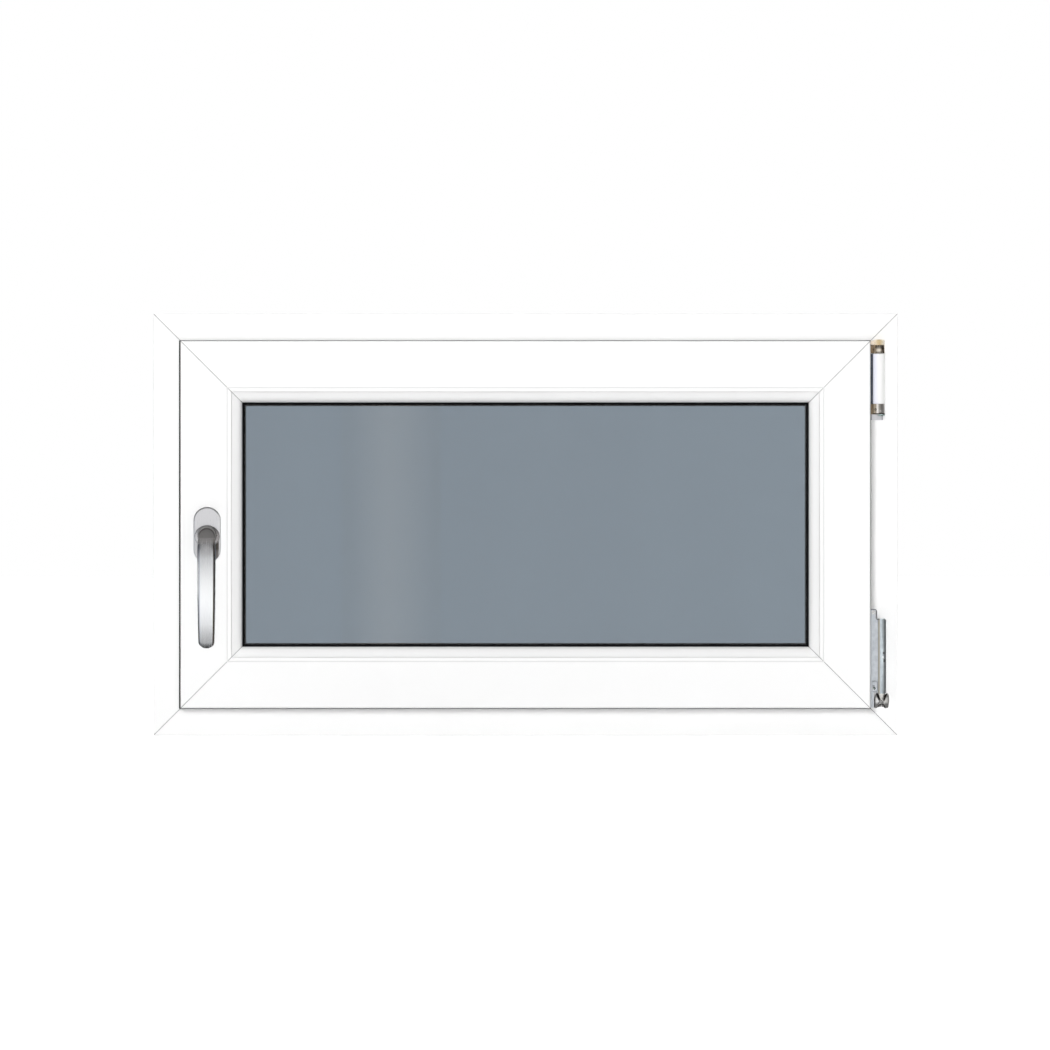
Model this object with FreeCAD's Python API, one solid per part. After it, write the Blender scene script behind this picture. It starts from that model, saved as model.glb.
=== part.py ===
"""A white plastic tilt and turn window, closed, seen from the room along +Y.

Lengths are millimetres. X runs along the width, Y through the depth towards the street, Z up.
The origin is the middle of the frame's underside. Every section is drawn in (u, y), where u is
the distance inwards from the outer edge of the frame, so one pair of 45 degree planes mitres
the frame, the sash and the glazing beads on one line.
"""
import FreeCAD
import Part
import math
import os

Vector = FreeCAD.Vector

# Frame
frame_width = 900.0
frame_height = 510.0
frame_depth = 70.0
frame_base_height = 43.0
frame_lip_height = 24.0
frame_edge_radius = 0.8
lip_tip_radius = 3.0
lip_tip_slope = 2.0
groove_spacing = 42.0
groove_mouth = 7.0
groove_undercut = 1.5
groove_depth = 4.0

# Walls of the hollow plastic sections
outer_wall = 2.8
web = 1.5
side_chamber = 7.5

# Sash
sash_inset = 33.0
sash_height = 77.3
sash_depth = 70.0
sash_projection = 16.0
overlap_gap = 4.0
fitting_gap = 12.0
lip_gap = 4.5
sash_edge_radius = 2.0
fitting_groove_width = 12.0
fitting_groove_depth = 9.0
fitting_groove_offset = 13.0
rebate_depth = 19.3
sash_lip_thickness = 11.0
upstand_height = 3.5
upstand_thickness = 3.5
upstand_edge_radius = 0.5
shadow_line_from_tip = 5.0
shadow_line_width = 1.4
shadow_line_depth = 0.4

# Glazing
pane_thickness = 4.0
cavity_width = 16.0
pane_edge_gap = 5.0
spacer_height = 6.5
spacer_inset = 2.5
glazing_gasket_thickness = 4.0
gasket_show_room = 3.1
gasket_show_street = 1.2
gasket_grip = 4.0

# Glazing bead
bead_joint = 0.45
bead_nose_recess = 1.1
bead_slope = 28.0
bead_bend_radius = 12.0
bead_wall = 1.8

# Seals between frame and sash
sash_seal_show = 0.8
sash_seal_show_handle_side = 2.0
sash_seal_width = 6.5
frame_seal_show = 2.0
frame_seal_width = 9.0

# Mitre joints
weld_groove = 0.45

# Drain slots and their covers, on the street face of the sill
drain_from_end = 150.0
drain_slot_length = 28.0
drain_slot_width = 5.0
drain_height = 17.0
drain_cap_length = 42.0
drain_cap_width = 13.0
drain_cap_thickness = 5.0
drain_cap_wall = 1.6

# Handle
handle_inset = 65.3
handle_height = 242.5
rosette_width = 33.0
rosette_height = 68.0
rosette_thickness = 10.5
rosette_chamfer = 1.6
collar_radius = 15.2
collar_top_radius = 12.6
collar_height = 4.5
neck_radius = 10.4
neck_play = 0.08
neck_length = 21.0
neck_shoulder = 0.5
bend_radius = 15.0
socket_depth = 14.0
grip_lean = 9.0
grip_arc_radius = 330.0
grip_length = 125.0
grip_top_width = 21.6
grip_end_width = 18.6
grip_top_thickness = 15.0
grip_end_thickness = 10.0
grip_blend_length = 32.0
bend_steps = 7
blend_steps = 8
grip_steps = 7
tip_steps = 5
spindle_size = 7.0
spindle_depth = 30.0
spindle_hole_radius = 6.0

# Hinge line, on which the stay bearing above and the corner pivot below both stand
hinge_inset = 19.7
hinge_stand_off = 9.0
running_gap = 0.3

# Stay bearing, the upper hinge
stay_top_rise = 1.7
stay_arm_height = 16.8
stay_arm_drop = 6.6
stay_cap_height = 61.3
stay_knuckle_height = 12.2
stay_foot_height = 7.0
stay_body_radius = 7.2
stay_body_offset = 3.0
stay_top_chamfer = 2.6
stay_sleeve_radius = 2.9
stay_rib_thickness = 4.4
stay_cap_wall = 1.1
stay_plate_thickness = 3.0
stay_arm_thickness = 6.0
pin_radius = 2.2
pin_play = 0.05
pin_head_height = 2.2
pin_head_radius = 4.5

# Corner pivot, the lower hinge
pivot_ball_radius = 8.9
pivot_height = 42.8
pivot_notch_angle = 27.0
pivot_notch_drop = 1.5
pivot_arch_radius = 3.5
pivot_plate_width = 12.0
pivot_plate_shift = 2.0
pivot_plate_height = 62.0
pivot_plate_thickness = 2.5
band_sleeve_radius = 4.5
band_height = 107.5
band_bottom_rise = 0.7
band_thickness = 2.2
band_leg_depth = 9.0
band_tongue_height = 11.5
band_tongue_width = 8.0
band_tongue_rounding = 2.4
band_tongue_hole_radius = 1.2
band_tip_radius = 0.5

# Fixing holes through the frame
fixing_from_end = 150.0
fixing_hole_radius = 3.1

# Planes and lines that the pieces share
frame_room = -frame_depth / 2
frame_street = frame_depth / 2
frame_lip = frame_base_height + frame_lip_height
sash_room = frame_room - sash_projection
sash_street = sash_room + sash_depth
overlap_back = frame_room - overlap_gap
lip_inner = sash_street + lip_gap
sash_back = frame_base_height + fitting_gap
sight_line = sash_inset + sash_height
rebate_floor = sight_line - rebate_depth
sash_lip_inner = sash_street - sash_lip_thickness
glass_street = sash_lip_inner - glazing_gasket_thickness
glass_room = glass_street - 2 * pane_thickness - cavity_width
bead_back = glass_room - glazing_gasket_thickness
upstand_inner = sash_room + upstand_thickness
upstand_tip = rebate_floor + upstand_height
bead_top = sight_line - gasket_show_room
bead_nose = upstand_tip + bead_joint
bead_front = sash_room + bead_nose_recess
bead_corner = bead_front + (bead_top - bead_nose) * math.tan(math.radians(bead_slope))
pane_edge = rebate_floor + pane_edge_gap
sash_edge_x = frame_width / 2 - sash_inset
hinge_x = frame_width / 2 - hinge_inset
hinge_y = frame_room - hinge_stand_off
handle_x = handle_inset - frame_width / 2


def section_wire(corners):
    """Closed wire through corners (u, y) or (u, y, radius), with tangent arcs where a radius is given."""
    points = [Vector(0, corner[1], corner[0]) for corner in corners]
    trims = []
    for i, corner in enumerate(corners):
        here = points[i]
        radius = corner[2] if len(corner) > 2 else 0
        if not radius:
            trims.append((here, None, here))
            continue
        back = (points[i - 1] - here).normalize()
        ahead = (points[(i + 1) % len(points)] - here).normalize()
        half_angle = back.getAngle(ahead) / 2
        reach = radius / math.tan(half_angle)
        bisector = (back + ahead).normalize()
        middle = here + bisector * (radius / math.sin(half_angle) - radius)
        trims.append((here + back * reach, middle, here + ahead * reach))
    edges = []
    for i, (start, middle, end) in enumerate(trims):
        if middle is not None:
            edges.append(Part.Arc(start, middle, end).toShape())
        following = trims[(i + 1) % len(trims)][0]
        if end.distanceToPoint(following) > 1e-6:
            edges.append(Part.LineSegment(end, following).toShape())
    return Part.Wire(edges)


def box(low, high):
    """A box between its lowest and highest corners."""
    return Part.makeBox(*(high[i] - low[i] for i in range(3)), Vector(*low))


def edges_at_y(shape, level):
    """The edges of a shape that lie in the plane y = level."""
    return [
        edge for edge in shape.Edges
        if abs(edge.BoundBox.YMin - level) < 1e-4 and abs(edge.BoundBox.YMax - level) < 1e-4
    ]


def rectangle(u_low, u_high, y_low, y_high):
    """Corners of a rectangle in a section."""
    return [(u_low, y_low), (u_high, y_low), (u_high, y_high), (u_low, y_high)]


def side_placement(side):
    """Turn about Y, shift, and length of the frame's outer edge on one side of the window."""
    half_width = frame_width / 2
    half_height = frame_height / 2
    return {
        "bottom": (0, Vector(0, 0, 0), frame_width),
        "top": (180, Vector(0, 0, frame_height), frame_width),
        "left": (90, Vector(-half_width, 0, half_height), frame_height),
        "right": (-90, Vector(half_width, 0, half_height), frame_height),
    }[side]


def weld_line(length, start, end):
    """Diamond bar along a mitre, from (u, y) start to (u, y) end on a face, at both ends of a bar."""
    first = Vector(start[0] - length / 2, start[1], start[0])
    last = Vector(end[0] - length / 2, end[1], end[0])
    along = (last - first).normalize()
    across = Vector(1, 0, -1).normalize() * weld_groove
    deep = along.cross(across).normalize() * weld_groove
    corners = [first + across, first + deep, first - across, first - deep]
    bar = Part.Face(Part.makePolygon(corners + corners[:1])).extrude(last - first)
    return [bar, bar.mirror(Vector(0, 0, 0), Vector(1, 0, 0))]


def mitred_bar(outline, chambers, side, weld_faces=()):
    """One length of a section, cut at 45 degrees at both ends and put on its side of the window."""
    turn, shift, length = side_placement(side)
    wires = [section_wire(corners) for corners in [outline, *chambers]]
    face = Part.makeFace(wires, "Part::FaceMakerBullseye")
    bar = face.extrude(Vector(length, 0, 0))
    bar.translate(Vector(-length / 2, 0, 0))
    inner = sight_line + rebate_depth
    deep = frame_depth + 2 * sash_depth
    trapezoid = Part.makePolygon([
        Vector(-length / 2, -deep / 2, 0),
        Vector(length / 2, -deep / 2, 0),
        Vector(length / 2 - inner, -deep / 2, inner),
        Vector(inner - length / 2, -deep / 2, inner),
        Vector(-length / 2, -deep / 2, 0),
    ])
    bar = bar.common(Part.Face(trapezoid).extrude(Vector(0, deep, 0)))
    for start, end in weld_faces:
        for groove in weld_line(length, start, end):
            bar = bar.cut(groove)
    bar.rotate(Vector(0, 0, 0), Vector(0, 1, 0), turn)
    bar.translate(shift)
    return bar.Solids[0] if len(bar.Solids) == 1 else bar


def mitred_ring(outline):
    """A closed ring of one section round all four sides."""
    bars = [mitred_bar(outline, [], side) for side in ("bottom", "left", "top", "right")]
    return bars[0].multiFuse(bars[1:]).removeSplitter().Solids[0]


def frame_outline():
    """Frame section: a base with two undercut grooves in its outer edge, and a lip on the street side."""
    grooves = []
    for middle in (groove_spacing / 2, -groove_spacing / 2):
        grooves += [
            (0, middle + groove_mouth / 2),
            (groove_depth, middle + groove_mouth / 2 + groove_undercut),
            (groove_depth, middle - groove_mouth / 2 - groove_undercut),
            (0, middle - groove_mouth / 2),
        ]
    return [
        (0, frame_street, frame_edge_radius),
        *grooves,
        (0, frame_room, frame_edge_radius),
        (frame_base_height, frame_room, frame_edge_radius),
        (frame_base_height, lip_inner),
        (frame_lip, lip_inner, frame_edge_radius),
        (frame_lip - lip_tip_slope, frame_street, lip_tip_radius),
    ]


def frame_chambers():
    """The frame's chambers from street to room: one up the lip, a plain one, the main one, the room one."""
    low = groove_depth + outer_wall
    high = frame_base_height - outer_wall
    lip_low = lip_inner + outer_wall
    second_high = lip_low - web
    second_low = second_high - side_chamber
    room_low = frame_room + outer_wall
    room_high = room_low + side_chamber
    return [
        rectangle(low, frame_lip - lip_tip_slope - lip_tip_radius, lip_low, frame_street - outer_wall),
        rectangle(low, high, second_low, second_high),
        rectangle(low, high, room_high + web, second_low - web),
        rectangle(low, high, room_low, room_high),
    ]


def make_frame(parts):
    """The four lengths of the outer frame, with drain slots through the sill's street wall."""
    welds = [
        ((0, frame_room), (frame_base_height, frame_room)),
        ((0, frame_street), (frame_lip - lip_tip_slope, frame_street)),
    ]
    for name, side in (
        ("frame_head", "top"),
        ("frame_sill", "bottom"),
        ("frame_jamb_handle_side", "left"),
        ("frame_jamb_hinge_side", "right"),
    ):
        parts[name] = mitred_bar(frame_outline(), frame_chambers(), side, welds)
    drill_fixings(parts)
    caps = []
    slot_low = drain_height - drain_slot_width / 2
    for middle in (drain_from_end - frame_width / 2, frame_width / 2 - drain_from_end):
        slot = box(
            (middle - drain_slot_length / 2, frame_street - 1.5 * outer_wall, slot_low),
            (middle + drain_slot_length / 2, frame_street + outer_wall, slot_low + drain_slot_width))
        parts["frame_sill"] = parts["frame_sill"].cut(slot)
        caps.append(drain_cap(middle))
    parts["drain_caps"] = Part.makeCompound(caps)


def drill_fixings(parts):
    """Two fixing holes through each jamb and two through the head."""
    for name, side in (
        ("frame_head", "top"),
        ("frame_jamb_handle_side", "left"),
        ("frame_jamb_hinge_side", "right"),
    ):
        turn, shift, length = side_placement(side)
        for end in (-1, 1):
            start = Vector(end * (length / 2 - fixing_from_end), 0, -1)
            hole = Part.makeCylinder(fixing_hole_radius, frame_base_height + 2, start)
            hole.rotate(Vector(0, 0, 0), Vector(0, 1, 0), turn)
            hole.translate(shift)
            parts[name] = parts[name].cut(hole)


def drain_cap(middle):
    """A snap-on cover over one drain slot, open at its underside so that water runs out."""
    left = middle - drain_cap_length / 2
    right = middle + drain_cap_length / 2
    low = drain_height - drain_cap_width / 2
    high = drain_height + drain_cap_width / 2
    front = frame_street + drain_cap_thickness
    cap = box((left, frame_street, low), (right, front, high))
    cap = cap.makeFillet(drain_cap_wall, edges_at_y(cap, front))
    hollow = box(
        (left + drain_cap_wall, frame_street, low - drain_cap_wall),
        (right - drain_cap_wall, front - drain_cap_wall, high - drain_cap_wall))
    return cap.cut(hollow).Solids[0]


def sash_outline():
    """Sash section: an overlap, a fitting groove, a glass lip, an upstand and a shadow line."""
    groove_middle = overlap_back + fitting_groove_offset
    shadow_line = upstand_tip - shadow_line_from_tip
    return [
        (sash_inset, sash_room, sash_edge_radius),
        (sash_inset, overlap_back, frame_edge_radius),
        (sash_back, overlap_back),
        (sash_back, groove_middle - fitting_groove_width / 2),
        (sash_back + fitting_groove_depth, groove_middle - fitting_groove_width / 2),
        (sash_back + fitting_groove_depth, groove_middle + fitting_groove_width / 2),
        (sash_back, groove_middle + fitting_groove_width / 2),
        (sash_back, sash_street, frame_edge_radius),
        (sight_line - lip_tip_slope, sash_street, lip_tip_radius),
        (sight_line, sash_lip_inner, frame_edge_radius),
        (rebate_floor, sash_lip_inner),
        (rebate_floor, upstand_inner),
        (upstand_tip, upstand_inner),
        (upstand_tip, sash_room, upstand_edge_radius),
        (shadow_line + shadow_line_width / 2, sash_room),
        (shadow_line, sash_room + shadow_line_depth),
        (shadow_line - shadow_line_width / 2, sash_room),
    ]


def sash_chambers():
    """The sash's chambers: overlap, room, main behind the fitting groove, street and lip."""
    low = sash_back + outer_wall
    main_low = sash_back + fitting_groove_depth + outer_wall
    high = rebate_floor - outer_wall
    room_low = sash_room + outer_wall
    room_high = room_low + side_chamber
    street_high = sash_street - outer_wall
    street_low = street_high - side_chamber
    lip_high = sight_line - lip_tip_slope - lip_tip_radius
    return [
        rectangle(sash_inset + outer_wall, low - web - outer_wall, room_low, overlap_back - outer_wall),
        rectangle(low - outer_wall, high, room_low, room_high),
        rectangle(main_low, high, room_high + web, street_low - web),
        rectangle(low, high, street_low, street_high),
        rectangle(rebate_floor, lip_high, sash_lip_inner + outer_wall, street_high),
    ]


def make_sash(parts):
    """The four lengths of the sash, with a hole for the handle's spindle in the handle stile."""
    welds = [
        ((sash_inset, sash_room), (upstand_tip, sash_room)),
        ((sash_back, sash_street), (sight_line - lip_tip_slope, sash_street)),
    ]
    for name, side in (
        ("sash_top_rail", "top"),
        ("sash_bottom_rail", "bottom"),
        ("sash_handle_stile", "left"),
        ("sash_hinge_stile", "right"),
    ):
        parts[name] = mitred_bar(sash_outline(), sash_chambers(), side, welds)
    hole = Part.makeCylinder(
        spindle_hole_radius, spindle_depth + fitting_groove_width,
        Vector(handle_x, sash_room - 1, handle_height), Vector(0, 1, 0))
    parts["sash_handle_stile"] = parts["sash_handle_stile"].cut(hole)


def bead_outline():
    """Glazing bead section: a foot behind the upstand, a sloping face and a large bend."""
    return [
        (rebate_floor, bead_back),
        (bead_top, bead_back),
        (bead_top, bead_corner, bead_bend_radius),
        (bead_nose, bead_front),
        (bead_nose, upstand_inner),
        (rebate_floor, upstand_inner),
    ]


def bead_chamber():
    """The bead's hollow, one wall inside its outline."""
    slope = math.radians(bead_slope)
    low = rebate_floor + bead_wall
    high = bead_top - bead_wall
    corner = bead_corner + bead_wall * (1 / math.cos(slope) - math.tan(slope))
    return [
        (low, bead_back - bead_wall),
        (high, bead_back - bead_wall),
        (high, corner, bead_bend_radius - bead_wall),
        (low, upstand_inner + bead_wall),
    ]


def make_glazing(parts):
    """Beads, the two panes, the spacer between them and the gaskets that grip them."""
    slope = math.radians(bead_slope)
    bend_reach = bead_bend_radius * math.tan(math.radians(90 - bead_slope) / 2)
    bend_start = (bead_top - bend_reach * math.cos(slope), bead_corner - bend_reach * math.sin(slope))
    welds = [((bead_nose, bead_front), bend_start)]
    for side in ("top", "bottom", "left", "right"):
        parts["glazing_bead_" + side] = mitred_bar(bead_outline(), [bead_chamber()], side, welds)
    pane_right = frame_width / 2 - pane_edge
    pane_top = frame_height - pane_edge
    for name, low in (
        ("glass_pane_room", glass_room),
        ("glass_pane_street", glass_street - pane_thickness),
    ):
        parts[name] = box((-pane_right, low, pane_edge), (pane_right, low + pane_thickness, pane_top))
    spacer_low = pane_edge + spacer_inset
    parts["glass_spacer"] = mitred_ring(rectangle(
        spacer_low, spacer_low + spacer_height, glass_room + pane_thickness, glass_street - pane_thickness))
    parts["glazing_gasket_room"] = mitred_ring([
        (bead_top - gasket_grip, bead_back),
        (bead_top, bead_back),
        (sight_line, glass_room - glazing_gasket_thickness * 0.3),
        (sight_line, glass_room),
        (bead_top - gasket_grip, glass_room),
    ])
    street_tip = sight_line + gasket_show_street
    parts["glazing_gasket_street"] = mitred_ring([
        (sight_line - 2 * gasket_grip, sash_lip_inner),
        (sight_line - frame_edge_radius, sash_lip_inner),
        (street_tip, glass_street + glazing_gasket_thickness * 0.3),
        (street_tip, glass_street),
        (sight_line - 2 * gasket_grip, glass_street),
    ])


def make_seals(parts):
    """The two seals between frame and sash: one under the overlap, wider at the handle, one on the lip."""
    seal_low = sash_inset - sash_seal_show
    seal = mitred_ring([
        (seal_low, frame_room),
        (seal_low, overlap_back + frame_edge_radius),
        (sash_inset + frame_edge_radius, overlap_back),
        (seal_low + sash_seal_width, overlap_back),
        (seal_low + sash_seal_width, frame_room),
    ])
    fin_x = sash_inset - sash_seal_show_handle_side - frame_width / 2
    fin = box(
        (fin_x, overlap_back + frame_edge_radius, seal_low),
        (fin_x + sash_seal_width / 2, frame_room, frame_height - seal_low))
    parts["sash_overlap_seal"] = seal.fuse(fin).removeSplitter().Solids[0]
    seal_high = frame_lip + frame_seal_show
    parts["frame_lip_seal"] = mitred_ring([
        (seal_high - frame_seal_width, sash_street),
        (seal_high - frame_seal_width, lip_inner),
        (frame_lip - frame_edge_radius, lip_inner),
        (seal_high, lip_inner - lip_gap * 0.4),
        (seal_high, sash_street),
    ])


def capsule(width, height, low_y, thickness):
    """An upright plate with round ends, centred on the handle's axis, its back at low_y."""
    radius = width / 2
    straight = height / 2 - radius
    across = Vector(radius, 0, 0)
    top = Vector(handle_x, low_y, handle_height + straight)
    bottom = Vector(handle_x, low_y, handle_height - straight)
    edges = [
        Part.LineSegment(bottom - across, top - across).toShape(),
        Part.Arc(top - across, top + Vector(0, 0, radius), top + across).toShape(),
        Part.LineSegment(top + across, bottom + across).toShape(),
        Part.Arc(bottom + across, bottom - Vector(0, 0, radius), bottom - across).toShape(),
    ]
    return Part.Face(Part.Wire(edges)).extrude(Vector(0, -thickness, 0))


def make_rosette(parts):
    """The cover plate on the sash and the domed collar that the lever's neck turns in."""
    front = sash_room - rosette_thickness
    plate = capsule(rosette_width, rosette_height, sash_room, rosette_thickness)
    plate = plate.makeChamfer(rosette_chamfer, edges_at_y(plate, front))
    bore = Part.makeCylinder(
        neck_radius + neck_play, rosette_thickness + 2 * collar_height,
        Vector(handle_x, sash_room, handle_height), Vector(0, -1, 0))
    parts["handle_rosette"] = plate.cut(bore)
    outline = Part.makePolygon([
        Vector(handle_x + neck_radius + neck_play, front, handle_height),
        Vector(handle_x + collar_radius, front, handle_height),
        Vector(handle_x + collar_top_radius, front - collar_height, handle_height),
        Vector(handle_x + neck_radius + neck_play, front - collar_height, handle_height),
        Vector(handle_x + neck_radius + neck_play, front, handle_height),
    ])
    axis_point = Vector(handle_x, front, handle_height)
    parts["handle_collar"] = Part.Face(outline).revolve(axis_point, Vector(0, 1, 0), 360)


def lever_size(distance, straight):
    """Half width and half thickness of the lever at a distance past the bend, round before it."""
    round_radius = neck_radius + neck_shoulder
    share = min(max(distance / straight, 0), 1)
    swell = min(max(1 - distance / grip_blend_length, 0), 1) ** 2
    half_width = (grip_top_width + (grip_end_width - grip_top_width) * share) / 2
    half_thickness = (grip_top_thickness + (grip_end_thickness - grip_top_thickness) * share) / 2
    return (
        half_width + (round_radius - half_width) * swell,
        half_thickness + (round_radius - half_thickness) * swell)


def lever_stations(straight):
    """Distance along the lever's middle line and shrinkage of each section, up to the tip."""
    bend_length = math.radians(90 - grip_lean) * bend_radius
    bend = [(-bend_length * (1 - step / bend_steps), 1) for step in range(bend_steps)]
    blend = [(grip_blend_length * step / blend_steps, 1) for step in range(blend_steps)]
    rest = straight - grip_blend_length
    grip = [(grip_blend_length + rest * step / grip_steps, 1) for step in range(grip_steps + 1)]
    tip_angles = [math.radians(90 * step / (tip_steps + 0.5)) for step in range(1, tip_steps + 1)]
    tip = [(straight + math.sin(angle) * grip_end_width / 2, math.cos(angle)) for angle in tip_angles]
    return bend + blend + grip + tip


def make_lever(parts):
    """The lever: a round neck, a bend, and a bowed grip that tapers to a round end, on a square spindle."""
    start = Vector(handle_x, sash_room - rosette_thickness / 2, handle_height)
    bend_start = Vector(handle_x, sash_room - rosette_thickness - neck_length, handle_height)
    neck = Part.makeCylinder(neck_radius, start.y - bend_start.y + neck_shoulder, start, Vector(0, -1, 0))
    bend_centre = bend_start + Vector(0, 0, -bend_radius)
    lean = math.radians(grip_lean)
    grip_centre = bend_centre + Vector(0, math.cos(lean), -math.sin(lean)) * (grip_arc_radius - bend_radius)
    straight = grip_length - grip_end_width / 2
    sections = []
    for distance, shrink in lever_stations(straight):
        centre, radius = (bend_centre, bend_radius) if distance < 0 else (grip_centre, grip_arc_radius)
        direction = distance / radius - lean
        point = centre + Vector(0, -math.cos(direction), -math.sin(direction)) * radius
        half_width, half_thickness = lever_size(distance, straight)
        ellipse = Part.Ellipse(Vector(0, 0, 0), half_width * shrink, half_thickness * shrink)
        ring = Part.Wire(ellipse.toShape())
        ring.rotate(Vector(0, 0, 0), Vector(1, 0, 0), math.degrees(direction))
        ring.translate(point)
        sections.append(ring)
    half = spindle_size / 2
    spindle = box(
        (handle_x - half, start.y - socket_depth, handle_height - half),
        (handle_x + half, sash_room + spindle_depth, handle_height + half))
    lever = neck.fuse(Part.makeLoft(sections, True, True))
    parts["handle_lever"] = lever.cut(spindle).Solids[0]
    parts["handle_spindle"] = spindle


def upright(radius, low, high, shift=0.0):
    """A cylinder between two heights on the hinge line, or shifted from it towards the sash."""
    return Part.makeCylinder(radius, high - low, Vector(hinge_x - shift, hinge_y, low))


def make_stay_hinge(parts):
    """The upper hinge: a bearing on the frame, the stay arm's end on the sash, a pin and a white cover."""
    top = frame_height - sash_inset + stay_top_rise
    arm_bottom = top - stay_arm_height
    knuckle_top = arm_bottom - stay_cap_height
    knuckle_bottom = knuckle_top - stay_knuckle_height
    foot_bottom = knuckle_bottom - stay_foot_height
    body_x = hinge_x - stay_body_offset
    plate_front = frame_room - stay_plate_thickness
    bore = upright(pin_radius + pin_play, knuckle_bottom - 1, top + 1)

    plate = box(
        (sash_edge_x + sash_seal_show, plate_front, foot_bottom),
        (body_x + stay_body_radius, frame_room, arm_bottom - running_gap))
    rib = box(
        (body_x - stay_rib_thickness / 2, hinge_y, knuckle_bottom),
        (body_x + stay_rib_thickness / 2, plate_front, arm_bottom - running_gap))
    sleeve = upright(stay_sleeve_radius, knuckle_bottom, arm_bottom - running_gap)
    knuckle = upright(stay_body_radius, knuckle_bottom, knuckle_top, stay_body_offset)
    parts["stay_bearing"] = plate.multiFuse([rib, sleeve, knuckle]).cut(bore).removeSplitter().Solids[0]

    cap_low = knuckle_top + running_gap
    cap_high = arm_bottom - running_gap
    shell = upright(stay_body_radius, cap_low, cap_high, stay_body_offset)
    rims = [edge for edge in shell.Edges if isinstance(edge.Curve, Part.Circle)]
    shell = shell.makeChamfer(stay_cap_wall / 2, rims)
    inside = upright(stay_body_radius - stay_cap_wall, cap_low - 1, cap_high + 1, stay_body_offset)
    behind = box(
        (body_x - 2 * stay_body_radius, plate_front - running_gap, foot_bottom),
        (body_x + 2 * stay_body_radius, frame_room, top))
    channel = box(
        (body_x - stay_rib_thickness / 2 - running_gap, hinge_y, foot_bottom),
        (body_x + stay_rib_thickness / 2 + running_gap, frame_room, top))
    parts["stay_cap"] = shell.cut(inside).cut(behind).cut(channel).Solids[0]

    arm = box(
        (sash_edge_x, hinge_y - stay_arm_thickness / 2, arm_bottom),
        (body_x, hinge_y + stay_arm_thickness / 2, top - stay_arm_drop))
    knuckle = upright(stay_body_radius, arm_bottom, top, stay_body_offset)
    crown = [edge for edge in knuckle.Edges if edge.BoundBox.ZMin > top - 1e-4]
    knuckle = knuckle.makeChamfer(stay_top_chamfer, crown)
    parts["stay_arm_end"] = knuckle.fuse(arm).cut(bore).removeSplitter().Solids[0]

    pin = upright(pin_radius, knuckle_bottom, top - stay_top_chamfer)
    head_bottom = knuckle_bottom - pin_head_height
    head = upright(pin_head_radius, head_bottom, knuckle_bottom)
    lower_rim = [edge for edge in head.Edges if edge.BoundBox.ZMax < head_bottom + 1e-4]
    head = head.makeChamfer(pin_head_height / 2, lower_rim)
    parts["stay_pin"] = pin.fuse(head).Solids[0]


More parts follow.
